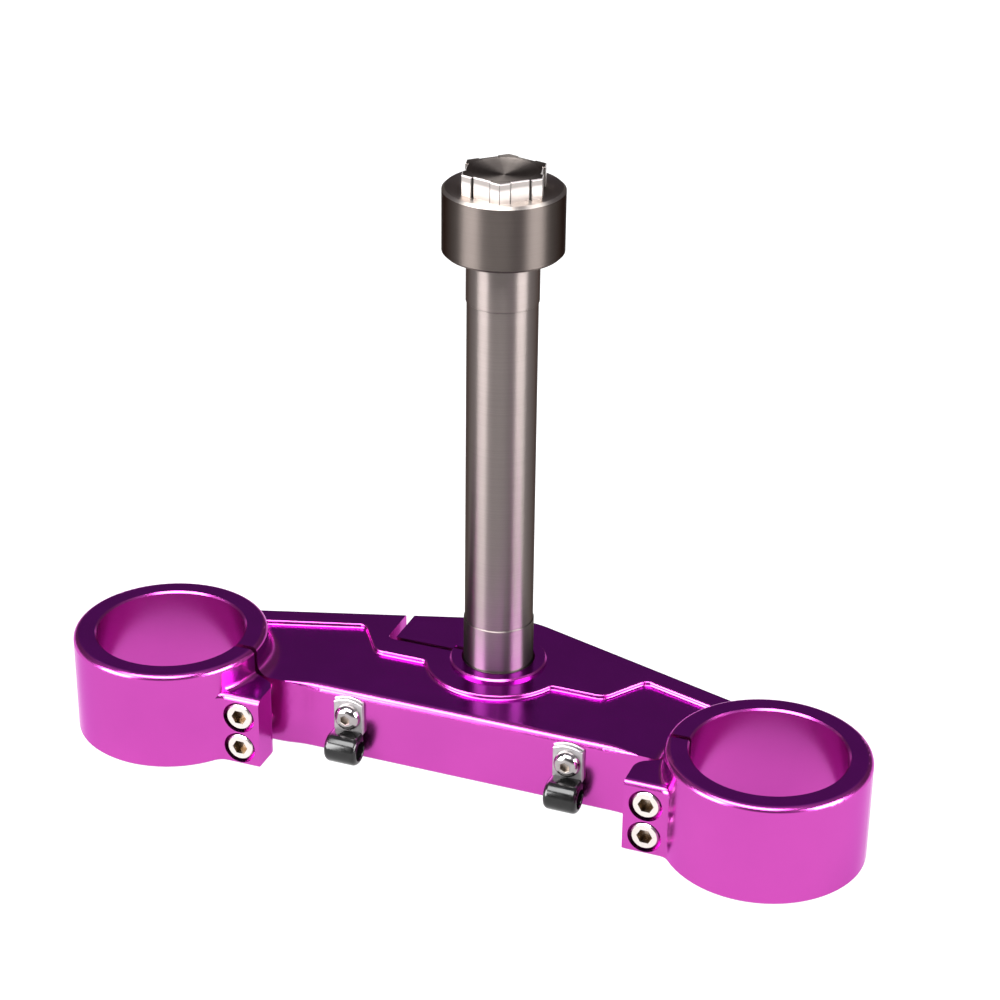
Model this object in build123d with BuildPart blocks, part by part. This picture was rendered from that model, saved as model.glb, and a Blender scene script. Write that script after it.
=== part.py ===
"""Lower triple clamp of a motorcycle fork, with its steering stem, stem nut, screws and hose clips.

Millimetres. The origin is on the steering axis at the clamp's underside, +Z runs up the stem, and
the fork tubes stand in front of the stem, towards -Y. Left (-X) and right (+X) are as seen from
the front.
"""
import os
from math import cos, radians, sin, sqrt, tan

from build123d import *

os.makedirs("parts", exist_ok=True)

# Fork clamps
fork_diameter = 54.0
fork_spacing = 225.2
fork_offset = 39.5
ring_wall = 8.3
clamp_height = 37.8
ring_top_round = 2.2
ring_bottom_bevel = 0.9
bore_chamfer = 0.6
ring_foot_round = 5.0
split_gap = 2.0
split_offset = 2.5

# Pinch lugs in front of the splits
lug_ahead = 20.5
lug_reach = 17.4
lug_straight_reach = 9.6
lug_back_angle = 26.6
lug_corner_round = 6.0
lug_front_round = 2.4
lug_ring_round = 5.0
lug_foot_round = 2.0

# Beam between the fork clamps
beam_front = 39.7
beam_flare_start = 57.0
beam_flare_end = 71.0
beam_front_round = 3.0
beam_round_start = 53.0
beam_round_end = 0.3
floor_height = 26.1
land_step = 1.6
land_top_round = 0.75
land_foot_round = 0.75
underside_bevel = 0.7
back_radius = 30.4
back_angle = 17.9
back_edge_bevel = 0.5

# Foot of the raised land, from the fork clamp inwards
step_outer_y = -2.3
step_outer_x = 80.0
step_notch_x = 55.0
step_notch_y = 5.4
step_notch_round = 3.5
step_shoulder_x = 44.3
step_shoulder_y = -10.7
step_shoulder_round = 6.0
step_stem_radius = 26.4
step_stem_round = 2.5

# Boss round the stem, and the slot that lets it pinch
boss_radius = 17.7
boss_height = 1.4
boss_bevel = 0.6
boss_chamfer = 0.7
stem_slot_gap = 2.0
relief_width = 3.0
relief_x = 42.2
relief_round = 2.8

# Pockets milled into the underside
pocket_inner_x = 49.0
pocket_outer_x = 69.5
pocket_depth = 15.0
pocket_wall = 6.0
pocket_round = 6.0

# Steering stem
stem_radius = 12.37
seat_radius = 12.7
lower_seat_length = 17.0
upper_seat_start = 169.3
relief_groove = 0.6
seat_bevel = 0.3
thread_radius = 11.0
thread_length = 14.0
stem_bore_radius = 7.8
stand_bore_radius = 9.0
stand_bore_depth = 60.0
press_clearance = 0.02
thread_clearance = 0.05
thread_run_out = 1.0

# Stem nut
nut_bottom = 186.6
nut_radius = 20.95
nut_height = 22.4
nut_bottom_chamfer = 1.0
nut_top_slope = 10.0
nut_skirt_depth = 4.0
nut_skirt_clearance = 0.3
nut_hex_flats = 27.0
nut_hex_height = 6.9
nut_hex_turn = 45.0
nut_hex_bevel = 0.35
nut_flat_recess = 0.7
nut_flat_recess_width = 7.4
nut_dish_radius = 12.1
nut_dish_depth = 3.6
nut_dish_curve = 0.35

# Pinch screws, socket head
pinch_radius = 3.0
pinch_head_radius = 5.0
pinch_head_height = 6.0
pinch_head_bevel = 0.5
pinch_socket_flats = 5.0
pinch_socket_depth = 3.0
pinch_pitch = 12.5
pinch_reach = 9.5
pinch_centre_z = 13.1
pinch_head_sunk = 0.25
pinch_thread_depth = 13.0
pinch_counterbore_clearance = 1.0
pinch_hole_clearance = 0.2
stem_pinch_x = 27.0
stem_pinch_jaw = 13.0

# Hose clips under the beam's front wall
clip_x = 41.7
clip_screw_z = 17.2
clip_top_z = 24.9
clip_top_bulge = 1.5
clip_band_width = 11.1
clip_band_thickness = 0.85
clip_leg_gap = 0.1
clip_loop_radius = 4.6
clip_mouth_angle = 39.0
cushion_width = 12.0
cushion_edge_bevel = 0.85
cushion_outside = 0.5
cushion_inside = 0.7
clip_loop_z = 6.15
clip_screw_radius = 2.5
clip_hole_clearance = 0.25
clip_head_radius = 4.65
clip_head_height = 3.1
clip_head_flat = 2.1
clip_socket_flats = 3.0
clip_socket_depth = 1.6
clip_thread_depth = 10.0

# Values worked out from the sizes above
fork_x = fork_spacing / 2
bore_radius = fork_diameter / 2
ring_radius = bore_radius + ring_wall
fork_inner_x = fork_x - bore_radius
lug_front = fork_offset + lug_ahead
lug_inner_x = fork_inner_x - lug_reach
lug_straight_x = fork_inner_x - lug_straight_reach
pinch_x = fork_inner_x - pinch_reach
land_height = floor_height + land_step
boss_top = land_height + boss_height
split_y = -(fork_offset + split_offset)
split_back = split_y + split_gap / 2
split_front = split_y - split_gap / 2
stem_bore = seat_radius + press_clearance
thread_bottom = nut_bottom + nut_skirt_depth - thread_run_out
nut_top = nut_bottom + nut_height
hex_top = nut_top + nut_hex_height
nut_slope_rise = (nut_radius - nut_dish_radius) * tan(radians(nut_top_slope))
sides = {"left": -1, "right": 1}


def back_y(x):
    """The Y of the beam's sloping back edge at a distance x from the middle."""
    return back_radius / cos(radians(back_angle)) - tan(radians(back_angle)) * abs(x)


def step_line(side):
    """The half of the land's foot line on one side, from the fork clamp to the shoulder."""
    slope = (step_notch_y - step_outer_y) / (step_notch_x - step_outer_x)
    fork_end_y = step_notch_y + slope * (fork_x - step_notch_x)
    return [
        (side * fork_x, fork_end_y),
        (side * step_notch_x, step_notch_y),
        (side * step_shoulder_x, step_shoulder_y),
    ]


# Plan of the beam, which both the beam and its raised land take
with BuildSketch() as beam_plan:
    with BuildLine():
        apex = CenterArc((0, 0), back_radius, 90 - back_angle, 2 * back_angle)
        Polyline(apex @ 0, (fork_x, back_y(fork_x)), (fork_x, split_back), (beam_flare_end, split_back))
        flare_middle = (beam_flare_start + beam_flare_end) / 2
        flare = Bezier(
            (beam_flare_end, split_back),
            (flare_middle, split_back),
            (flare_middle, -beam_front),
            (beam_flare_start, -beam_front),
        )
        Line((beam_flare_start, -beam_front), (-beam_flare_start, -beam_front))
        Bezier(
            (-beam_flare_start, -beam_front),
            (-flare_middle, -beam_front),
            (-flare_middle, split_back),
            (-beam_flare_end, split_back),
        )
        Polyline((-beam_flare_end, split_back), (-fork_x, split_back), (-fork_x, back_y(fork_x)), apex @ 1)
    make_face()


def corner_profile(x, radius, y):
    """What a rounding tool of this radius takes off the beam's top front edge, across the beam."""
    middle = radius * (1 - cos(radians(45)))
    outside = y - beam_front_round
    above = floor_height + beam_front_round
    with BuildSketch(Plane.YZ.offset(x)) as profile:
        with BuildLine():
            ThreePointArc(
                (y + radius, floor_height),
                (y + middle, floor_height - middle),
                (y, floor_height - radius),
            )
            Polyline(
                (y, floor_height - radius),
                (outside, floor_height - radius),
                (outside, above),
                (y + radius, above),
                (y + radius, floor_height),
            )
        make_face()
    return profile.sketch


# Raised land behind the step, with its edge rounded at the top
with BuildPart() as land:
    with BuildSketch() as land_foot:
        with BuildLine():
            right_line = step_line(1)
            left_line = step_line(-1)
            far = back_radius + ring_radius
            Polyline((fork_x, far), *right_line, *reversed(left_line), (-fork_x, far), (fork_x, far))
        make_face()
        Circle(step_stem_radius)
        stem_corner_x = sqrt(step_stem_radius**2 - step_shoulder_y**2)
        for corner_x, corner_round in (
            (step_notch_x, step_notch_round),
            (step_shoulder_x, step_shoulder_round),
            (stem_corner_x, step_stem_round),
        ):
            corners = land_foot.vertices().filter_by(lambda v: abs(abs(v.X) - corner_x) < 0.01)
            fillet(corners.filter_by(lambda v: v.Y < step_notch_y + 0.01), corner_round)
    extrude(amount=land_height)
    top_edges = land.edges().group_by(Axis.Z)[-1]
    step_reach = step_notch_y + step_notch_round
    fillet(top_edges.filter_by(lambda e: e.center().Y < step_reach), land_top_round)
    with BuildSketch():
        add(beam_plan.sketch)
    extrude(amount=land_height, mode=Mode.INTERSECT)

# Beam with its land, its rounded front edge and the pockets in its underside
with BuildPart() as beam:
    with BuildSketch():
        add(beam_plan.sketch)
    extrude(amount=floor_height)
    chamfer(beam.edges().group_by(Axis.Z)[0], underside_bevel)
    add(land.part)
    floor_edges = beam.edges().filter_by_position(Axis.Z, floor_height - 0.01, floor_height + 0.01)
    foot_edges = floor_edges.filter_by(lambda e: e.center().Y > -step_stem_radius - land_step)
    fillet(foot_edges.filter_by(lambda e: abs(e.center().X) < fork_x - ring_wall), land_foot_round)
    back_edges = beam.edges().filter_by_position(Axis.Z, land_height - 0.01, land_height + 0.01)
    chamfer(back_edges.filter_by(lambda e: e.center().Y > step_notch_y + land_step), back_edge_bevel)
    front_round = corner_profile(-beam_round_start, beam_front_round, -beam_front)
    extrude(front_round, amount=2 * beam_round_start, mode=Mode.SUBTRACT)
    middle_place = flare @ 0.8
    middle_radius = (beam_front_round + beam_round_end) / 2
    last_place = flare @ 0.3
    for side in sides.values():
        full_round = corner_profile(side * beam_round_start, beam_front_round, -beam_front)
        middle_round = corner_profile(side * middle_place.X, middle_radius, middle_place.Y)
        last_round = corner_profile(side * last_place.X, beam_round_end, last_place.Y)
        loft([full_round, middle_round, last_round], mode=Mode.SUBTRACT)
    with BuildSketch() as pockets:
        for side in sides.values():
            with BuildLine():
                inner, outer = pocket_inner_x, pocket_outer_x
                front = pocket_wall - beam_front
                Polyline(
                    (side * inner, front),
                    (side * outer, front),
                    (side * outer, back_y(outer) - pocket_wall),
                    (side * inner, back_y(inner) - pocket_wall),
                    (side * inner, front),
                )
            make_face()
        fillet(pockets.vertices(), pocket_round)
    extrude(amount=pocket_depth, mode=Mode.SUBTRACT)

# One fork clamp ring, before its bore and split are cut
with BuildPart() as ring:
    Cylinder(ring_radius, clamp_height, align=(Align.CENTER, Align.CENTER, Align.MIN))
    fillet(ring.edges().sort_by(Axis.Z)[-1], ring_top_round)
    chamfer(ring.edges().sort_by(Axis.Z)[0], ring_bottom_bevel)


def ring_skirt(radius):
    """The hollow rounding of this radius between a ring's wall and a flat top at Z = 0."""
    middle = radius * (1 - cos(radians(45)))
    with BuildPart() as skirt:
        with BuildSketch(Plane.XZ):
            with BuildLine():
                ThreePointArc(
                    (ring_radius + radius, 0),
                    (ring_radius + middle, middle),
                    (ring_radius, radius),
                )
                Polyline(
                    (ring_radius, radius),
                    (ring_radius - ring_wall / 2, radius),
                    (ring_radius - ring_wall / 2, 0),
                    (ring_radius + radius, 0),
                )
            make_face()
        revolve(axis=Axis.Z)
    return skirt.part


ring_foot = ring_skirt(ring_foot_round)
fork_places = [(side * fork_x, -fork_offset) for side in sides.values()]

# Roundings where the beam's floor and its land run into the rings
with BuildPart() as floor_blend:
    with Locations(*[(x, y, floor_height) for x, y in fork_places]):
        add(ring_foot)
    with BuildSketch(Plane.XY.offset(floor_height)):
        add(beam_plan.sketch)
    extrude(amount=ring_foot_round, mode=Mode.INTERSECT)

with BuildPart() as land_blend:
    with BuildSketch(Plane.XY.offset(floor_height)):
        add(land_foot.sketch)
    extrude(amount=land_step + ring_foot_round)
    with Locations(*[(x, y, land_height) for x, y in fork_places]):
        add(ring_foot, mode=Mode.INTERSECT)
    with BuildSketch(Plane.XY.offset(floor_height)):
        add(beam_plan.sketch)
    extrude(amount=land_step + ring_foot_round, mode=Mode.INTERSECT)

# One pinch lug on its ring, on the right, with its top level with the land
with BuildPart() as lug:
    with BuildSketch() as lug_plan:
        with BuildLine():
            run = lug_straight_x - lug_inner_x
            Polyline(
                (lug_inner_x, -lug_front),
                (lug_inner_x, split_front - run * tan(radians(lug_back_angle))),
                (lug_straight_x, split_front),
                (fork_x, split_front),
                (fork_x, -lug_front),
                (lug_inner_x, -lug_front),
            )
        make_face()
        back_corner = lug_plan.vertices().sort_by(Axis.X)[:2].sort_by(Axis.Y)[-1]
        fillet(back_corner, lug_corner_round)
        with Locations((fork_x, -fork_offset)):
            Circle(ring_radius)
        meeting_x = fork_x - sqrt(ring_radius**2 - (lug_front - fork_offset) ** 2)
        meetings = lug_plan.vertices().filter_by(lambda v: abs(v.Y + lug_front) < 0.01)
        fillet(meetings.filter_by(lambda v: abs(v.X - meeting_x) < 0.01), lug_ring_round)
    extrude(amount=land_height)
    chamfer(lug.edges().group_by(Axis.Z)[0], underside_bevel)
    top_edges = lug.edges().group_by(Axis.Z)[-1]
    fillet(top_edges.filter_by(Axis.X).sort_by(Axis.Y)[0], lug_front_round)

with BuildPart() as lug_blend:
    with Locations((fork_x, -fork_offset, land_height)):
        add(ring_skirt(lug_foot_round))
    with BuildSketch(Plane.XY.offset(land_height)):
        with Locations((lug_inner_x, split_front)):
            Rectangle(
                fork_x - lug_inner_x,
                lug_front - lug_front_round + split_front,
                align=(Align.MIN, Align.MAX),
            )
    extrude(amount=lug_foot_round, mode=Mode.INTERSECT)

# Boss round the stem
with BuildPart() as boss:
    Cylinder(boss_radius, boss_top, align=(Align.CENTER, Align.CENTER, Align.MIN))
    chamfer(boss.edges().group_by(Axis.Z)[-1], boss_bevel)

# The clamp itself, machined from one block
with BuildPart() as lower_clamp:
    add(beam.part)
    add(floor_blend.part)
    add(land_blend.part)
    with Locations(*fork_places):
        add(ring.part)
    add(lug.part)
    add(lug.part.mirror(Plane.YZ))
    add(lug_blend.part)
    add(lug_blend.part.mirror(Plane.YZ))

    add(boss.part)

    # Stem bore, fork bores and their chamfered mouths
    with BuildSketch():
        Circle(stem_bore)
        with Locations(*fork_places):
            Circle(bore_radius)
    extrude(amount=clamp_height, mode=Mode.SUBTRACT)
    with BuildSketch(Plane.XY.offset(boss_top)):
        Circle(stem_bore + boss_chamfer)
    extrude(amount=-boss_chamfer, taper=45, mode=Mode.SUBTRACT)
    for level, way in ((clamp_height, -1), (0, 1)):
        with BuildSketch(Plane.XY.offset(level)):
            with Locations(*fork_places):
                Circle(bore_radius + bore_chamfer)
        extrude(amount=way * bore_chamfer, taper=45, mode=Mode.SUBTRACT)

    # Splits through the rings' inner walls, and the stem's pinch slot with its relief
    with BuildSketch() as slots:
        for side in sides.values():
            with Locations((side * fork_x, split_y)):
                split_length = fork_x - lug_straight_x
                Rectangle(
                    split_length,
                    split_gap,
                    align=(Align.MAX if side > 0 else Align.MIN, Align.CENTER),
                )
        relief_end = relief_x + relief_width / 2
        Rectangle(relief_end, stem_slot_gap, align=(Align.MAX, Align.CENTER))
        with Locations((-relief_x, -stem_slot_gap / 2)):
            Rectangle(relief_width, back_radius + stem_slot_gap, align=(Align.CENTER, Align.MIN))
        relief_corner = slots.vertices().filter_by(lambda v: abs(v.X + relief_end) < 0.01)
        fillet(relief_corner.sort_by(Axis.Y)[0], relief_round)
    extrude(amount=clamp_height, mode=Mode.SUBTRACT)

    # Pinch screw holes through the lugs, tapped in the beam
    pinch_levels = [pinch_centre_z - pinch_pitch / 2, pinch_centre_z + pinch_pitch / 2]
    lug_faces = [
        Plane(origin=(side * pinch_x, -lug_front, z), x_dir=(1, 0, 0), z_dir=(0, -1, 0))
        for side in sides.values()
        for z in pinch_levels
    ]
    pinch_seat = pinch_head_height + pinch_head_sunk
    with Locations(*lug_faces):
        CounterBoreHole(
            radius=pinch_radius + pinch_hole_clearance,
            counter_bore_radius=pinch_head_radius + pinch_counterbore_clearance,
            counter_bore_depth=pinch_seat,
            depth=lug_front + split_y,
        )
        Hole(pinch_radius + thread_clearance, depth=lug_front + split_back + pinch_thread_depth)

    # Stem pinch screw holes, from the sloping back edge into the beam
    stem_pinch_places = [
        Plane(origin=(-stem_pinch_x, back_radius, z), x_dir=(-1, 0, 0), z_dir=(0, 1, 0))
        for z in pinch_levels
    ]
    with Locations(*stem_pinch_places):
        CounterBoreHole(
            radius=pinch_radius + pinch_hole_clearance,
            counter_bore_radius=pinch_head_radius + pinch_counterbore_clearance / 2,
            counter_bore_depth=back_radius - stem_pinch_jaw,
            depth=back_radius,
        )
        Hole(pinch_radius + thread_clearance, depth=back_radius + pinch_thread_depth)

    # Tapped holes for the hose clips
    clip_places = [
        Plane(origin=(side * clip_x, -beam_front, clip_screw_z), x_dir=(1, 0, 0), z_dir=(0, -1, 0))
        for side in sides.values()
    ]
    with Locations(*clip_places):
        Hole(clip_screw_radius + thread_clearance, depth=clip_thread_depth)
lower_clamp.part.label = "lower_clamp"
export_step(lower_clamp.part, "parts/lower_clamp.step")

# Hollow stem, stepped for its two bearing seats and its thread
with BuildPart() as steering_stem:
    with BuildSketch(Plane.XZ):
        with BuildLine():
            groove_radius = seat_radius - seat_bevel
            seat_start = boss_top + relief_groove
            seat_end = boss_top + lower_seat_length
            thread_end = thread_bottom + thread_length
            Polyline(
                (stand_bore_radius, 0),
                (seat_radius - seat_bevel, 0),
                (seat_radius, seat_bevel),
                (seat_radius, boss_top),
                (groove_radius, boss_top),
                (groove_radius, seat_start),
                (seat_radius, seat_start),
                (seat_radius, seat_end - seat_bevel),
                (stem_radius, seat_end),
                (stem_radius, upper_seat_start - seat_bevel),
                (seat_radius, upper_seat_start),
                (seat_radius, thread_bottom - seat_bevel),
                (seat_radius - seat_bevel, thread_bottom),
                (thread_radius, thread_bottom),
                (thread_radius, thread_end - seat_bevel),
                (thread_radius - seat_bevel, thread_end),
                (stem_bore_radius, thread_end),
                (stem_bore_radius, stand_bore_depth),
                (stand_bore_radius, stand_bore_depth),
                (stand_bore_radius, 0),
            )
        make_face()
    revolve(axis=Axis.Z)
steering_stem.part.label = "steering_stem"
export_step(steering_stem.part, "parts/steering_stem.step")

# Stem nut: a skirted collar with a dished hexagon whose flats are stepped in
with BuildPart() as stem_nut:
    with BuildSketch(Plane.XZ):
        with BuildLine():
            Polyline(
                (0, nut_bottom),
                (nut_radius - nut_bottom_chamfer, nut_bottom),
                (nut_radius, nut_bottom + nut_bottom_chamfer),
                (nut_radius, nut_top),
                (nut_dish_radius, nut_top + nut_slope_rise),
                (0, nut_top),
                (0, nut_bottom),
            )
        make_face()
    revolve(axis=Axis.Z)
    with BuildSketch(Plane.XY.offset(nut_top)) as hexagon:
        RegularPolygon(
            radius=nut_hex_flats / 2,
            side_count=6,
            major_radius=False,
            rotation=nut_hex_turn,
        )
        with PolarLocations(nut_hex_flats / 2, 6, start_angle=nut_hex_turn + 30):
            Rectangle(2 * nut_flat_recess, nut_flat_recess_width, mode=Mode.SUBTRACT)
    extrude(amount=nut_hex_height)
    chamfer(stem_nut.edges().group_by(Axis.Z)[-1], nut_hex_bevel)
    with BuildSketch(Plane.XZ):
        with BuildLine():
            dish_bottom = hex_top - nut_dish_depth
            Polyline(
                (0, dish_bottom),
                (0, hex_top),
                (nut_dish_radius, hex_top),
                (nut_dish_radius / 2, dish_bottom + nut_dish_depth * nut_dish_curve),
                (0, dish_bottom),
            )
        make_face()
    revolve(axis=Axis.Z, mode=Mode.SUBTRACT)
    with BuildSketch(Plane.XY.offset(nut_bottom)):
        Circle(seat_radius + nut_skirt_clearance)
    extrude(amount=nut_skirt_depth, mode=Mode.SUBTRACT)
    with BuildSketch(Plane.XY.offset(nut_bottom)):
        Circle(thread_radius + thread_clearance)
    extrude(amount=thread_bottom + thread_length + nut_skirt_clearance - nut_bottom, mode=Mode.SUBTRACT)
stem_nut.part.label = "stem_nut"
export_step(stem_nut.part, "parts/stem_nut.step")

# Socket-head pinch screw at the origin, its head's seat on Y = 0 and its head towards -Y
pinch_grip = lug_front - pinch_seat
pinch_length = pinch_grip + split_back + pinch_thread_depth - thread_run_out
with BuildPart() as pinch_screw:
    with BuildSketch(Plane.XZ.offset(pinch_head_height)):
        Circle(pinch_head_radius)
    extrude(amount=-pinch_head_height)
    chamfer(pinch_screw.edges().sort_by(Axis.Y)[0], pinch_head_bevel)
    with BuildSketch(Plane.XZ):
        Circle(pinch_radius)
    extrude(amount=-pinch_length)
    chamfer(pinch_screw.edges().sort_by(Axis.Y)[-1], pinch_head_bevel)
    with BuildSketch(Plane.XZ.offset(pinch_head_height)):
        RegularPolygon(radius=pinch_socket_flats / 2, side_count=6, major_radius=False)
    extrude(amount=-pinch_socket_depth, mode=Mode.SUBTRACT)

for name, side in sides.items():
    for row, z in zip(("lower", "upper"), pinch_levels):
        with BuildPart() as fork_pinch_screw:
            with Locations((side * pinch_x, -pinch_grip, z)):
                add(pinch_screw.part)
        fork_pinch_screw.part.label = f"{name}_pinch_screw_{row}"
        export_step(fork_pinch_screw.part, f"parts/{name}_pinch_screw_{row}.step")

for row, z in zip(("lower", "upper"), pinch_levels):
    with BuildPart() as stem_pinch_screw:
        with Locations(Location((-stem_pinch_x, stem_pinch_jaw, z), (0, 0, 180))):
            add(pinch_screw.part)
    stem_pinch_screw.part.label = f"stem_pinch_screw_{row}"
    export_step(stem_pinch_screw.part, f"parts/stem_pinch_screw_{row}.step")

# Hose clip: a folded band whose loop is coated in rubber, at the origin of its screw hole
clip_face = clip_band_thickness * 2 + clip_leg_gap
band_outer = clip_loop_radius + clip_band_thickness / 2
band_inner = clip_loop_radius - clip_band_thickness / 2
cushion_outer = band_outer + cushion_outside
cushion_inner = band_inner - cushion_inside
loop_y = -cushion_outer
loop_z = clip_loop_z - clip_screw_z
leg_top = clip_top_z - clip_screw_z - clip_top_bulge

with BuildPart() as clip_band:
    with BuildSketch(Plane.YZ):
        with Locations((loop_y, loop_z)):
            Circle(band_outer)
            Circle(band_inner, mode=Mode.SUBTRACT)
        mouth_y = loop_y + band_outer * cos(radians(clip_mouth_angle))
        with Locations((mouth_y, loop_z)):
            Rectangle(band_outer, band_outer, align=(Align.MIN, Align.MIN), mode=Mode.SUBTRACT)
        with Locations((0, loop_z)):
            Rectangle(clip_band_thickness, leg_top - loop_z, align=(Align.MAX, Align.MIN))
        front_leg = loop_z + band_inner * sin(radians(clip_mouth_angle))
        with Locations((-clip_band_thickness - clip_leg_gap, front_leg)):
            Rectangle(clip_band_thickness, leg_top - front_leg, align=(Align.MAX, Align.MIN))
    extrude(amount=clip_band_width / 2, both=True)
    with BuildSketch(Plane.XZ):
        with BuildLine():
            ends = clip_band_width / 2
            top_arc = ThreePointArc((-ends, leg_top), (0, leg_top + clip_top_bulge), (ends, leg_top))
            Line(top_arc @ 0, top_arc @ 1)
        make_face()
    extrude(amount=clip_face)
    with BuildSketch(Plane.XZ.offset(clip_band_thickness)):
        Rectangle(clip_band_width, 2 * (leg_top + clip_top_bulge))
    extrude(amount=clip_leg_gap, mode=Mode.SUBTRACT)
    with Locations(Plane(origin=(0, -clip_face, 0), z_dir=(0, -1, 0))):
        Hole(clip_screw_radius + clip_hole_clearance, depth=clip_face)

with BuildPart() as clip_cushion:
    with BuildSketch(Plane.YZ):
        with Locations((loop_y, loop_z)):
            Circle(cushion_outer)
    extrude(amount=cushion_width / 2, both=True)
    chamfer(clip_cushion.edges().filter_by(GeomType.CIRCLE), cushion_edge_bevel)
    with BuildSketch(Plane.YZ):
        with Locations((loop_y, loop_z)):
            Circle(cushion_inner)
        with Locations((loop_y + cushion_inner * cos(radians(clip_mouth_angle)), loop_z)):
            Rectangle(cushion_outer, cushion_outer, align=(Align.MIN, Align.MIN))
    extrude(amount=cushion_width / 2, both=True, mode=Mode.SUBTRACT)
    add(clip_band.part, mode=Mode.SUBTRACT)

# Button-head clip screw, its head's seat on Y = 0 and its head towards -Y
with BuildPart() as clip_screw:
    with BuildSketch():
        with BuildLine():
            dome = clip_head_radius - clip_head_flat
            Polyline(
                (clip_head_radius, 0),
                (clip_head_flat + dome * cos(radians(15)), -clip_head_height * sin(radians(15))),
                (clip_head_flat + dome * cos(radians(45)), -clip_head_height * sin(radians(45))),
                (clip_head_flat, -clip_head_height),
                (0, -clip_head_height),
                (0, 0),
                (clip_head_radius, 0),
            )
        make_face()
    revolve(axis=Axis.Y)
    with BuildSketch(Plane.XZ):
        Circle(clip_screw_radius)
    extrude(amount=-(clip_face + clip_thread_depth - thread_run_out))
    chamfer(clip_screw.edges().sort_by(Axis.Y)[-1], pinch_head_bevel)
    with BuildSketch(Plane.XZ.offset(clip_head_height)):
        RegularPolygon(radius=clip_socket_flats / 2, side_count=6, major_radius=False)
    extrude(amount=-clip_socket_depth, mode=Mode.SUBTRACT)

for name, side in sides.items():
    with BuildPart() as hose_clip_band:
        with Locations((side * clip_x, -beam_front, clip_screw_z)):
            add(clip_band.part)
    hose_clip_band.part.label = f"{name}_hose_clip_band"
    export_step(hose_clip_band.part, f"parts/{name}_hose_clip_band.step")

    with BuildPart() as hose_clip_cushion:
        with Locations((side * clip_x, -beam_front, clip_screw_z)):
            add(clip_cushion.part)
    hose_clip_cushion.part.label = f"{name}_hose_clip_cushion"
    export_step(hose_clip_cushion.part, f"parts/{name}_hose_clip_cushion.step")

    with BuildPart() as hose_clip_screw:
        with Locations((side * clip_x, -beam_front - clip_face, clip_screw_z)):
            add(clip_screw.part)
    hose_clip_screw.part.label = f"{name}_clip_screw"
    export_step(hose_clip_screw.part, f"parts/{name}_clip_screw.step")
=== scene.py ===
"""Look of the motorcycle triple clamp: materials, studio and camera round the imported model."""
from math import atan2, cos, pi, radians, sin

import bpy
from mathutils import Matrix, Vector


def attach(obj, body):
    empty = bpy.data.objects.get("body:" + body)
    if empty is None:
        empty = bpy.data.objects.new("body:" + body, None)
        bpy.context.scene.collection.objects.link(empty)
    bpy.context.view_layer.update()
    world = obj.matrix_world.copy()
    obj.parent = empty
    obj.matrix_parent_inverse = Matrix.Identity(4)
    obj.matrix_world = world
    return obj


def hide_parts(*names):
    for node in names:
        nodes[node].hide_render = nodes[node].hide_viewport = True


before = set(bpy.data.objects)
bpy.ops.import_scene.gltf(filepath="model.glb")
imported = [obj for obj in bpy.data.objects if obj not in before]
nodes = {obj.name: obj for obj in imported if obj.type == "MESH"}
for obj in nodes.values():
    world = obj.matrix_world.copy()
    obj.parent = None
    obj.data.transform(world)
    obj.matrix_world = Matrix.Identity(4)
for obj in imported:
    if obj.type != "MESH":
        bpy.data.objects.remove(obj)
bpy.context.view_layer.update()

MM_PER_METRE = 1000

# Camera, in metres and degrees, as fitted to the photograph
CAMERA_PLACE = (0.2839, -0.7598, 0.5027)
CAMERA_TURN = 20.494
CAMERA_TILT = 26.817
CAMERA_ROLL = 0.706
FOCAL_PIXELS = 2569.8
IMAGE_PIXELS = 1000
SENSOR_WIDTH = 36.0

# Nut's collar, in millimetres: radius and height round its half profile,
# and the ring from which the faces belong to its top
COLLAR_PROFILE = (
    (0.5, 203.9), (11.05, 203.9), (11.05, 190.6), (13.0, 190.6), (13.0, 186.6), (19.95, 186.6),
    (20.95, 187.6), (20.95, 208.95), (19.95, 209.85), (15.0, 208.7), (0.5, 208.7),
)
COLLAR_TOP_RING = 7
COLLAR_STEPS = 192

# Nut's hexagon, in millimetres and degrees. Half a side is a share of half the width across flats
HEX_SIDES = 6
HEX_FLATS = 27.0
HEX_HALF_SIDE = 0.57735
HEX_TURN = 45.0
HEX_FOOT = 208.0
HEX_TOP = 215.9
HEX_BEVEL = 0.25

# Along each flat: places on its proud end as shares from the corner, then places as shares
# of the recess's width with their depth, and the strips painted dark as shade at the corners and
# recess edges
PROUD_LINE = (0.0, 0.04, 0.92, 1.0)
RECESS_WIDTH = 7.4
RECESS_LINE = (
    (-0.5, 0.95), (-0.46, 0.95), (-0.44, 0.7), (0.0, 0.7), (0.44, 0.7), (0.46, 0.95), (0.5, 0.95),
)
PAINTED_SHADE_STRIPS = (0, 2, 3, 4, 9, 10, 11, 13)

# Nut's dish, in millimetres: radius and depth, and the hexagon's ring from which it starts
DISH_PROFILE = ((11.7, 0.0), (11.2, 0.35), (8.0, 1.1), (4.0, 1.7), (0.3, 1.95))
DISH_RING = 2

# Clip screws, in millimetres
CLIP_X = 41.7
CLIP_SCREW_SEAT = -41.5
CLIP_SCREW_Z = 17.2
HEAD_RADIUS = 4.95
HEAD_FLAT = 2.2
HEAD_HEIGHT = 3.1
SOCKET_FLATS = 3.2
SOCKET_DEPTH = 1.7
SOCKET_BEVEL = 0.15
DOME_STEPS = 14
SCREW_STEPS = 72

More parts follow.
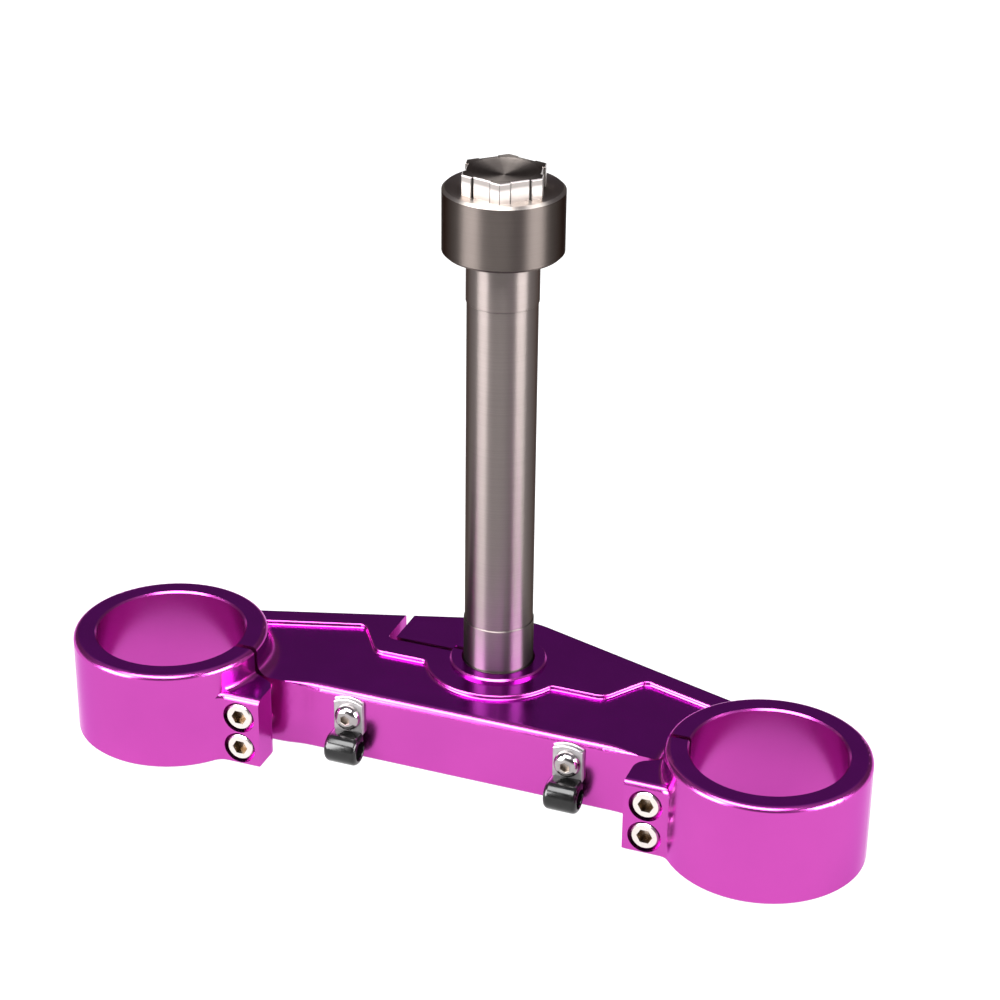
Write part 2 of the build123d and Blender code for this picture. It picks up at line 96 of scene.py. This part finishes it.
# Rubber loops of the clips, in millimetres and degrees from +Y towards +Z
LOOP_Y = -45.225
LOOP_Z = 6.15
LOOP_FIRST = 41.0
LOOP_LAST = 358.0
LOOP_STEPS = 96
NECK_FACE = 3.9
NECK_LAST = 90.0
CUSHION_OUTER = 5.525
CUSHION_INNER = 3.5
CUSHION_WIDTH = 12.4
CUSHION_ROUND = 1.8
CUSHION_INNER_ROUND = 0.5
CORNER_STEPS = 6

# Clip tabs, in millimetres: back and front of each layer, and how much lower its top is
TAB_LAYERS = ((-39.72, -40.5, 0.0), (-40.65, -41.5, 0.9))
TAB_WIDTH = 11.1
TAB_EDGE = 0.2
TAB_BOTTOM = 10.6
TAB_SHOULDER = 23.4
TAB_ARCH = 1.5
ARCH_STEPS = 24

# Edges sharper than this many degrees stay sharp in the new pieces
SHARP_ANGLE = 32.0

# Noise: its detail, the range that is spread out, and where two colours start and end on it
NOISE_DETAIL = 3.0
FINE_DETAIL = 2.0
NOISE_RANGE = (0.3, 0.7)
COLOUR_RANGE = (0.35, 0.65)

# Anodised metal: colours, roughness, clear coat, noises in patches a metre and grain in metres.
# A face takes the top colour, a painted darker shade, where its normal's Z passes the upward limit
ANODISED = (0.45, 0.049, 0.345)
ANODISED_DEEP = (0.42, 0.044, 0.325)
ANODISED_PAINTED_TOP_SHADE = (0.30, 0.008, 0.355)
ANODISED_EDGE = (0.85, 0.45, 0.85)
ANODISED_ROUGH = (0.20, 0.24)
ANODISED_COAT = 0.3
ANODISED_COAT_ROUGH = 0.18
ANODISED_PATCHES = 22.0
ANODISED_SATIN = 60.0
ANODISED_GRAIN = 900.0
ANODISED_GRAIN_DEPTH = 0.000004
ANODISED_GRAIN_STRENGTH = 0.2
UPWARD_LIMIT = 0.95

# Turned metals: colour, roughness, anisotropy, and stretch and depth of their tool lines
TURNED_METALS = {
    # turned_nut, turned_collar_top and turned_dish are one steel with painted light: the collar top
    # is painted lighter than the side and the dish
    "turned_stem": ((0.140, 0.120, 0.114), 0.36, 0.9, (0.04, 0.04, 10), 0.000002),
    "turned_nut": ((0.070, 0.059, 0.054), 0.46, 0.9, (0.04, 0.04, 10), 0.000002),
    "turned_collar_top": ((0.34, 0.31, 0.285), 0.42, 0.9, (0.04, 0.04, 2), 0.0000005),
    "turned_dish": ((0.13, 0.115, 0.105), 0.5, 0.7, (0.04, 0.04, 10), 0.000002),
}
TURNED_EDGE = (0.30, 0.28, 0.27)
TURNED_SHADE = 0.9
TURNED_ROUGH_SPREAD = 0.03
TURNED_BUMP_STRENGTH = 0.4
QUARTER_TURN = 0.25
TOOL_LINES = 300.0

# Plain metals: colour, roughness and noise in patches a metre
PLAIN_METALS = {
    "pinch_steel": ((0.66, 0.62, 0.58), 0.24, 700),
    # Painted dark shade for strips at the nut's corners and recess edges
    "nut_painted_edge_shade": ((0.12, 0.11, 0.105), 0.4, 500),
    "clip_screw_steel": ((0.36, 0.335, 0.335), 0.15, 600),
    # Darker, browner copy of the clip screw steel: painted shade inside the sockets
    "clip_socket_painted_shade": ((0.30, 0.26, 0.23), 0.35, 600),
    "zinc_plate": ((0.38, 0.365, 0.37), 0.4, 500),
}
PLAIN_SHADE = 0.88
PLAIN_ROUGH_SPREAD = (-0.04, 0.05)
PLAIN_GRAIN_SHARE = 2.5
PLAIN_GRAIN_DEPTH = 0.00001
PLAIN_GRAIN_STRENGTH = 0.3

# Painted brown shade inside the pinch screws' sockets, laid by occlusion reaching this many
# millimetres
SOCKET_PAINTED_SHADE = (0.16, 0.11, 0.065)
SHADE_REACH = 8.0
SHADE_SAMPLES = 8

# Milled flats: colours by their place from the hexagon's foot to its top, with a painted dark band
# of reflected shade under the top edge, and roughness
MILLED_METAL = (0.74, 0.69, 0.67)
MILLED_PAINTED_SHADE = (0.26, 0.235, 0.225)
MILLED_STOPS = ((0.58, MILLED_METAL), (0.76, MILLED_PAINTED_SHADE), (0.93, MILLED_PAINTED_SHADE), (0.95, MILLED_METAL))
MILLED_ROUGH = (0.29, 0.31)
MILLED_STRETCH = (1, 1, 8)

# Rubber
RUBBER = (0.004, 0.004, 0.004)
RUBBER_SHADE = 0.6
RUBBER_SPECULAR = 0.35
RUBBER_ROUGH = (0.14, 0.2)
RUBBER_GRAIN = 400.0
RUBBER_GRAIN_DEPTH = 0.00001
RUBBER_GRAIN_STRENGTH = 0.2

# Floor, in metres, and the surroundings' colours by the height of the direction looked in
FLOOR_SIZE = 12
FLOOR = (0.12, 0.12, 0.12)
FLOOR_SHADE = 0.98
FLOOR_ROUGH = 0.85
FLOOR_GLOW = 8.2
FLOOR_PATCHES = 3.0
HORIZON = (0.85, 0.85, 0.85)
LOW_SKY = (0.15, 0.13, 0.15)
HIGH_SKY = (0.45, 0.42, 0.5)
SKY_STOPS = ((0.0, HORIZON), (0.08, HORIZON), (0.16, LOW_SKY), (0.55, LOW_SKY), (0.95, HIGH_SKY))

# Lamps: name, place, target, width and height in metres, and watts
SOFTBOXES = (
    ("overhead", (-0.1, -0.75, 1.55), (0, 0, 0), (1.6, 0.9), 75),
    ("left", (-0.9, -1.0, 0.5), (0, 0, 0.05), (0.85, 0.9), 58),
    ("right", (1.35, -0.22, 0.5), (0, 0, 0.05), (0.85, 0.9), 58),
)


def new_material(name, metallic=0.0):
    material = bpy.data.materials.new(name)
    material.use_nodes = True
    tree = material.node_tree
    shader = tree.nodes["Principled BSDF"]
    shader.inputs["Metallic"].default_value = metallic
    return material, tree, shader


def shaded(colour, share):
    return tuple(share * c for c in colour)


def add_noise(tree, scale, detail=NOISE_DETAIL, stretch=(1, 1, 1)):
    """Noise in the object's own coordinates, with its scale in patches a metre."""
    place = tree.nodes.new("ShaderNodeTexCoord")
    mapping = tree.nodes.new("ShaderNodeMapping")
    mapping.inputs["Scale"].default_value = stretch
    noise = tree.nodes.new("ShaderNodeTexNoise")
    noise.inputs["Scale"].default_value = scale
    noise.inputs["Detail"].default_value = detail
    tree.links.new(place.outputs["Object"], mapping.inputs["Vector"])
    tree.links.new(mapping.outputs["Vector"], noise.inputs["Vector"])
    return noise.outputs["Fac"]


def add_height(tree, output, low, high):
    """The Z of one of the surface's coordinates, spread from low..high to 0..1."""
    place = tree.nodes.new("ShaderNodeTexCoord")
    parts = tree.nodes.new("ShaderNodeSeparateXYZ")
    height = tree.nodes.new("ShaderNodeMapRange")
    height.inputs["From Min"].default_value = low
    height.inputs["From Max"].default_value = high
    tree.links.new(place.outputs[output], parts.inputs["Vector"])
    tree.links.new(parts.outputs["Z"], height.inputs["Value"])
    return height.outputs["Result"]


def add_roughness(tree, shader, value, low, high):
    """Roughness of low..high over the noise's middle range."""
    spread = tree.nodes.new("ShaderNodeMapRange")
    spread.inputs["From Min"].default_value = NOISE_RANGE[0]
    spread.inputs["From Max"].default_value = NOISE_RANGE[1]
    spread.inputs["To Min"].default_value = low
    spread.inputs["To Max"].default_value = high
    tree.links.new(value, spread.inputs["Value"])
    tree.links.new(spread.outputs["Result"], shader.inputs["Roughness"])


def add_bump(tree, shader, value, depth, strength):
    bump = tree.nodes.new("ShaderNodeBump")
    bump.inputs["Strength"].default_value = strength
    bump.inputs["Distance"].default_value = depth
    tree.links.new(value, bump.inputs["Height"])
    tree.links.new(bump.outputs["Normal"], shader.inputs["Normal"])


def add_ramp(tree, value, stops):
    """A colour for a value, from pairs of its place and the colour there."""
    ramp = tree.nodes.new("ShaderNodeValToRGB")
    elements = ramp.color_ramp.elements
    while len(elements) < len(stops):
        elements.new(0.5)
    for element, (position, colour) in zip(elements, stops):
        element.position = position
        element.color = (*colour, 1)
    tree.links.new(value, ramp.inputs["Fac"])
    return ramp.outputs["Color"]


def add_patches(tree, value, first, second):
    """One colour going over to another along a noise."""
    return add_ramp(tree, value, tuple(zip(COLOUR_RANGE, (first, second))))


def anodised():
    """Satin anodised aluminium, a little deeper in patches, with a painted darker shade on the tops.
    """
    material, tree, shader = new_material("anodised", 1.0)
    shader.inputs["Specular Tint"].default_value = (*ANODISED_EDGE, 1)
    shader.inputs["Coat Weight"].default_value = ANODISED_COAT
    shader.inputs["Coat Roughness"].default_value = ANODISED_COAT_ROUGH
    walls = add_patches(tree, add_noise(tree, ANODISED_PATCHES), ANODISED_DEEP, ANODISED)
    # Faces looking up take the painted darker top shade
    blend = tree.nodes.new("ShaderNodeMix")
    blend.data_type = "RGBA"
    blend.inputs["B"].default_value = (*ANODISED_PAINTED_TOP_SHADE, 1)
    tree.links.new(add_height(tree, "Normal", UPWARD_LIMIT, 1.0), blend.inputs["Factor"])
    tree.links.new(walls, blend.inputs["A"])
    tree.links.new(blend.outputs["Result"], shader.inputs["Base Color"])
    add_roughness(tree, shader, add_noise(tree, ANODISED_SATIN), *ANODISED_ROUGH)
    grain = add_noise(tree, ANODISED_GRAIN, FINE_DETAIL)
    add_bump(tree, shader, grain, ANODISED_GRAIN_DEPTH, ANODISED_GRAIN_STRENGTH)
    return material


def turned(name):
    """Turned metal, with its fine tool lines running round the Z axis."""
    colour, rough, anisotropy, stretch, depth = TURNED_METALS[name]
    material, tree, shader = new_material(name, 1.0)
    shader.inputs["Specular Tint"].default_value = (*TURNED_EDGE, 1)
    shader.inputs["Anisotropic"].default_value = anisotropy
    shader.inputs["Anisotropic Rotation"].default_value = QUARTER_TURN
    tangent = tree.nodes.new("ShaderNodeTangent")
    tangent.direction_type = "RADIAL"
    tangent.axis = "Z"
    tree.links.new(tangent.outputs["Tangent"], shader.inputs["Tangent"])
    lines = add_noise(tree, TOOL_LINES, FINE_DETAIL, stretch)
    colours = add_patches(tree, lines, shaded(colour, TURNED_SHADE), colour)
    tree.links.new(colours, shader.inputs["Base Color"])
    add_roughness(tree, shader, lines, rough - TURNED_ROUGH_SPREAD, rough + TURNED_ROUGH_SPREAD)
    add_bump(tree, shader, lines, depth, TURNED_BUMP_STRENGTH)
    return material


def plain_metal(name, painted_socket_shade=None):
    """Metal in fine patches, or with a painted shade inside its sockets where one is given."""
    colour, rough, scale = PLAIN_METALS[name]
    material, tree, shader = new_material(name, 1.0)
    patches = add_noise(tree, scale)
    if painted_socket_shade:
        # Occlusion lays the painted shade inside the sockets
        shade = tree.nodes.new("ShaderNodeAmbientOcclusion")
        shade.samples = SHADE_SAMPLES
        shade.only_local = True
        shade.inputs["Distance"].default_value = SHADE_REACH / MM_PER_METRE
        colours = add_patches(tree, shade.outputs["AO"], painted_socket_shade, colour)
    else:
        colours = add_patches(tree, patches, shaded(colour, PLAIN_SHADE), colour)
    tree.links.new(colours, shader.inputs["Base Color"])
    add_roughness(tree, shader, patches, *(rough + spread for spread in PLAIN_ROUGH_SPREAD))
    grain = add_noise(tree, PLAIN_GRAIN_SHARE * scale, FINE_DETAIL)
    add_bump(tree, shader, grain, PLAIN_GRAIN_DEPTH, PLAIN_GRAIN_STRENGTH)
    return material


def milled():
    """The nut's milled flats, bright at the foot, with a painted dark band of reflected shade under
    their top edge.
    """
    material, tree, shader = new_material("milled_nut", 1.0)
    height = add_height(tree, "Object", HEX_FOOT / MM_PER_METRE, HEX_TOP / MM_PER_METRE)
    # Colour by height lays the painted shade band under the top edge
    tree.links.new(add_ramp(tree, height, MILLED_STOPS), shader.inputs["Base Color"])
    lines = add_noise(tree, TOOL_LINES, FINE_DETAIL, MILLED_STRETCH)
    add_roughness(tree, shader, lines, *MILLED_ROUGH)
    return material


def rubber():
    material, tree, shader = new_material("rubber")
    shader.inputs["Specular IOR Level"].default_value = RUBBER_SPECULAR
    grain = add_noise(tree, RUBBER_GRAIN)
    colours = add_patches(tree, grain, shaded(RUBBER, RUBBER_SHADE), RUBBER)
    tree.links.new(colours, shader.inputs["Base Color"])
    add_roughness(tree, shader, grain, *RUBBER_ROUGH)
    add_bump(tree, shader, grain, RUBBER_GRAIN_DEPTH, RUBBER_GRAIN_STRENGTH)
    return material


def new_piece(name, node, vertices, faces, materials, finishes=None):
    """A piece from vertices in millimetres that stands for a CAD node.

    finishes gives the number of each face's material, which is the first if it is left out.
    """
    mesh = bpy.data.meshes.new(name)
    mesh.from_pydata([tuple(c / MM_PER_METRE for c in v) for v in vertices], [], faces)
    mesh.validate()
    for material in materials:
        mesh.materials.append(material)
    for polygon in mesh.polygons:
        polygon.use_smooth = True
        polygon.material_index = finishes[polygon.index] if finishes else 0
    mesh.set_sharp_from_angle(angle=radians(SHARP_ANGLE))
    piece = bpy.data.objects.new(name, mesh)
    bpy.context.scene.collection.objects.link(piece)
    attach(piece, "root")
    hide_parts(node)


def bridge(faces, first, second, count):
    """Joins two closed rings of count vertices, given the number of each ring's first vertex."""
    for i in range(count):
        after = (i + 1) % count
        faces.append((first + i, first + after, second + after, second + i))


def circle(radius, z, count):
    step = 2 * pi / count
    return [(radius * cos(i * step), radius * sin(i * step), z) for i in range(count)]


def stack(rings):
    """Vertices and faces of rings joined in turn, with a face over the first and the last."""
    count = len(rings[0])
    vertices = [v for ring in rings for v in ring]
    faces = []
    for i in range(len(rings) - 1):
        bridge(faces, i * count, (i + 1) * count, count)
    last = (len(rings) - 1) * count
    faces.append(tuple(reversed(range(count))))
    faces.append(tuple(range(last, last + count)))
    return vertices, faces


def join(parts):
    """Vertices and faces of several stacks as one mesh."""
    vertices, faces = [], []
    for part_vertices, part_faces in parts:
        start = len(vertices)
        vertices += part_vertices
        faces += [tuple(start + i for i in face) for face in part_faces]
    return vertices, faces


def hexagon_outline(shrink, z):
    """The nut's hexagon at a height, with a shallow recess in the middle of each flat."""
    flat = HEX_FLATS / 2
    half = flat * HEX_HALF_SIDE
    proud = half - RECESS_WIDTH / 2
    scale = 1 - shrink / flat
    line = [(flat, -half + proud * share) for share in PROUD_LINE]
    recess = [(flat - depth, RECESS_WIDTH * along) for along, depth in RECESS_LINE]
    rest = [(x, -y) for x, y in reversed(line)]
    points = []
    for side in range(HEX_SIDES):
        turn = radians(HEX_TURN + (side + 0.5) * 360 / HEX_SIDES)
        for x, y in line + recess + rest[:-1]:
            x, y = scale * x, scale * y
            points.append((x * cos(turn) - y * sin(turn), x * sin(turn) + y * cos(turn), z))
    return points


def build_nut():
    """Turned collar with a milled hexagon on it, and the dish turned into the hexagon's top."""
    finishes = [
        turned("turned_nut"), milled(), plain_metal("nut_painted_edge_shade"),
        turned("turned_collar_top"), turned("turned_dish"),
    ]
    turned_side, flat, edge_shade, collar_top, dish = range(len(finishes))
    collar = stack([circle(r, z, COLLAR_STEPS) for r, z in COLLAR_PROFILE])
    # The collar's top faces take the copy of the steel painted lighter
    numbers = [
        collar_top if i >= COLLAR_TOP_RING * COLLAR_STEPS else turned_side
        for i in range(len(collar[1]))
    ]
    rings = [
        hexagon_outline(0.0, HEX_FOOT), hexagon_outline(0.0, HEX_TOP - HEX_BEVEL),
        hexagon_outline(HEX_BEVEL, HEX_TOP),
    ]
    count = len(rings[0])
    angles = [atan2(y, x) for x, y, z in rings[0]]
    for radius, drop in DISH_PROFILE:
        rings.append([(radius * cos(a), radius * sin(a), HEX_TOP - drop) for a in angles])
    hexagon = stack(rings)
    for i in range(len(hexagon[1])):
        along = i % (count // HEX_SIDES)
        if i >= DISH_RING * count:
            numbers.append(dish)
        # Strips at the corners and the recess's edges take the painted shade
        elif i < count and along in PAINTED_SHADE_STRIPS:
            numbers.append(edge_shade)
        else:
            numbers.append(flat)
    vertices, faces = join((collar, hexagon))
    new_piece("dished_nut", "stem_nut", vertices, faces, finishes, numbers)


def build_clip_screw(name, node, place, finish, socket_finish):
    """A button head with a hexagon socket, facing -Y from its seat."""
    rings = []
    for i in range(DOME_STEPS + 1):
        angle = radians(90 * i / DOME_STEPS)
        radius = HEAD_FLAT + (HEAD_RADIUS - HEAD_FLAT) * cos(angle)
        rings.append(circle(radius, HEAD_HEIGHT * sin(angle), SCREW_STEPS))
    half = SOCKET_FLATS / 2
    for radius, depth in ((half + SOCKET_BEVEL, 0.0), (half, SOCKET_BEVEL), (half, SOCKET_DEPTH)):
        ring = []
        for i in range(SCREW_STEPS):
            angle = 2 * pi * i / SCREW_STEPS
            off = (angle + pi / 6) % (pi / 3) - pi / 6
            reach = radius / cos(off)
            ring.append((reach * cos(angle), reach * sin(angle), HEAD_HEIGHT - depth))
        rings.append(ring)
    vertices, faces = stack(rings)
    x0, y0, z0 = place
    vertices = [(x0 + x, y0 - z, z0 + y) for x, y, z in vertices]
    # Faces from here on, the socket's, take its painted shade
    socket_start = (DOME_STEPS + 1) * SCREW_STEPS
    numbers = [1 if i >= socket_start else 0 for i in range(len(faces))]
    new_piece(name, node, vertices, faces, [finish, socket_finish], numbers)


def cushion_section():
    """Radius and x round the rubber's section, a bar with well rounded edges."""
    corners = (
        (CUSHION_OUTER, CUSHION_WIDTH / 2, CUSHION_ROUND, 0),
        (CUSHION_INNER, CUSHION_WIDTH / 2, CUSHION_INNER_ROUND, 90),
        (CUSHION_INNER, -CUSHION_WIDTH / 2, CUSHION_INNER_ROUND, 180),
        (CUSHION_OUTER, -CUSHION_WIDTH / 2, CUSHION_ROUND, 270),
    )
    points = []
    for radius, x, size, start in corners:
        middle_radius = radius - size if start in (0, 270) else radius + size
        middle_x = x - size if x > 0 else x + size
        for i in range(CORNER_STEPS + 1):
            angle = radians(start + 90 * i / CORNER_STEPS)
            points.append((middle_radius + size * cos(angle), middle_x + size * sin(angle)))
    return points


def build_cushion(name, node, middle_x, finish):
    """Rubber round the clip's loop, open at the back of its top where the band comes out."""
    section = cushion_section()
    rings = []
    for i in range(LOOP_STEPS + 1):
        turn = LOOP_FIRST + (LOOP_LAST - LOOP_FIRST) * i / LOOP_STEPS
        angle = radians(turn)
        reach = 0.0
        if turn < NECK_LAST:
            neck = CUSHION_OUTER / cos(radians(NECK_LAST - turn))
            reach = min(NECK_FACE / cos(angle), neck) - CUSHION_OUTER
        ring = []
        for r, x in section:
            share = (r - CUSHION_INNER) / (CUSHION_OUTER - CUSHION_INNER)
            r += share * reach
            ring.append((middle_x + x, LOOP_Y + r * cos(angle), LOOP_Z + r * sin(angle)))
        rings.append(ring)
    vertices, faces = stack(rings)
    new_piece(name, node, vertices, faces, [finish])


def build_tab(name, node, middle_x, finish):
    """The clip's folded tab: two layers with arched tops and rounded front edges."""
    layers = []
    for back, front, drop in TAB_LAYERS:
        rings = []
        for y, inset in ((back, 0.0), (front + TAB_EDGE, 0.0), (front, TAB_EDGE)):
            half = TAB_WIDTH / 2 - inset
            ring = [(middle_x - half, y, TAB_BOTTOM), (middle_x + half, y, TAB_BOTTOM)]
            for i in range(ARCH_STEPS + 1):
                along = 1 - 2 * i / ARCH_STEPS
                rise = TAB_ARCH * (1 - along * along)
                ring.append((middle_x + half * along, y, TAB_SHOULDER + rise - drop - inset))
            rings.append(ring)
        layers.append(stack(rings))
    vertices, faces = join(layers)
    new_piece(name, node, vertices, faces, [finish])


def dress(names, material):
    for name in names:
        mesh = nodes[name].data
        mesh.materials.clear()
        mesh.materials.append(material)


def add_floor():
    bpy.ops.mesh.primitive_plane_add(size=FLOOR_SIZE)
    floor = bpy.context.object
    floor.name = "floor"
    material, tree, shader = new_material("floor_paper")
    shader.inputs["Roughness"].default_value = FLOOR_ROUGH
    shader.inputs["Specular IOR Level"].default_value = 0.0
    shader.inputs["Emission Color"].default_value = (*FLOOR, 1)
    shader.inputs["Emission Strength"].default_value = FLOOR_GLOW
    patches = add_noise(tree, FLOOR_PATCHES)
    colours = add_patches(tree, patches, shaded(FLOOR, FLOOR_SHADE), FLOOR)
    tree.links.new(colours, shader.inputs["Base Color"])
    floor.data.materials.append(material)


def add_world():
    """Surroundings that are pale at the horizon, dark above it and lighter overhead."""
    world = bpy.data.worlds.new("studio")
    bpy.context.scene.world = world
    world.use_nodes = True
    tree = world.node_tree
    direction = tree.nodes.new("ShaderNodeTexCoord")
    parts = tree.nodes.new("ShaderNodeSeparateXYZ")
    tree.links.new(direction.outputs["Generated"], parts.inputs["Vector"])
    sky = add_ramp(tree, parts.outputs["Z"], SKY_STOPS)
    tree.links.new(sky, tree.nodes["Background"].inputs["Color"])


def add_softbox(name, place, target, size, watts):
    lamp = bpy.data.lights.new(name, "AREA")
    lamp.shape = "RECTANGLE"
    lamp.size, lamp.size_y = size
    lamp.energy = watts
    holder = bpy.data.objects.new(name, lamp)
    holder.location = place
    aim = Vector(target) - Vector(place)
    holder.rotation_euler = aim.to_track_quat("-Z", "Y").to_euler()
    bpy.context.scene.collection.objects.link(holder)


def add_camera():
    lens = bpy.data.cameras.new("camera")
    lens.sensor_width = SENSOR_WIDTH
    lens.lens = FOCAL_PIXELS / IMAGE_PIXELS * SENSOR_WIDTH
    camera = bpy.data.objects.new("camera", lens)
    bpy.context.scene.collection.objects.link(camera)
    camera.matrix_world = (
        Matrix.Translation(CAMERA_PLACE)
        @ Matrix.Rotation(radians(CAMERA_TURN), 4, "Z")
        @ Matrix.Rotation(radians(90 - CAMERA_TILT), 4, "X")
        @ Matrix.Rotation(radians(CAMERA_ROLL), 4, "Z")
    )
    bpy.context.scene.camera = camera


# Clamp, stem and pinch screws keep their CAD shapes
dress(["lower_clamp"], anodised())
dress(["steering_stem"], turned("turned_stem"))
dress([n for n in nodes if "pinch_screw" in n], plain_metal("pinch_steel", SOCKET_PAINTED_SHADE))

# Nut and hose clips are built anew
build_nut()
head_steel = plain_metal("clip_screw_steel")
clip_socket_shade = plain_metal("clip_socket_painted_shade")
zinc_plate = plain_metal("zinc_plate")
black_rubber = rubber()
for word, side in (("left", -1), ("right", 1)):
    middle_x = side * CLIP_X
    seat = (middle_x, CLIP_SCREW_SEAT, CLIP_SCREW_Z)
    build_clip_screw(f"{word}_button_head", f"{word}_clip_screw", seat, head_steel, clip_socket_shade)
    build_tab(f"{word}_clip_tab", f"{word}_hose_clip_band", middle_x, zinc_plate)
    build_cushion(f"{word}_rubber_loop", f"{word}_hose_clip_cushion", middle_x, black_rubber)

# Studio
add_floor()
add_world()
for softbox in SOFTBOXES:
    add_softbox(*softbox)
add_camera()
bpy.context.scene.view_settings.view_transform = "Standard"
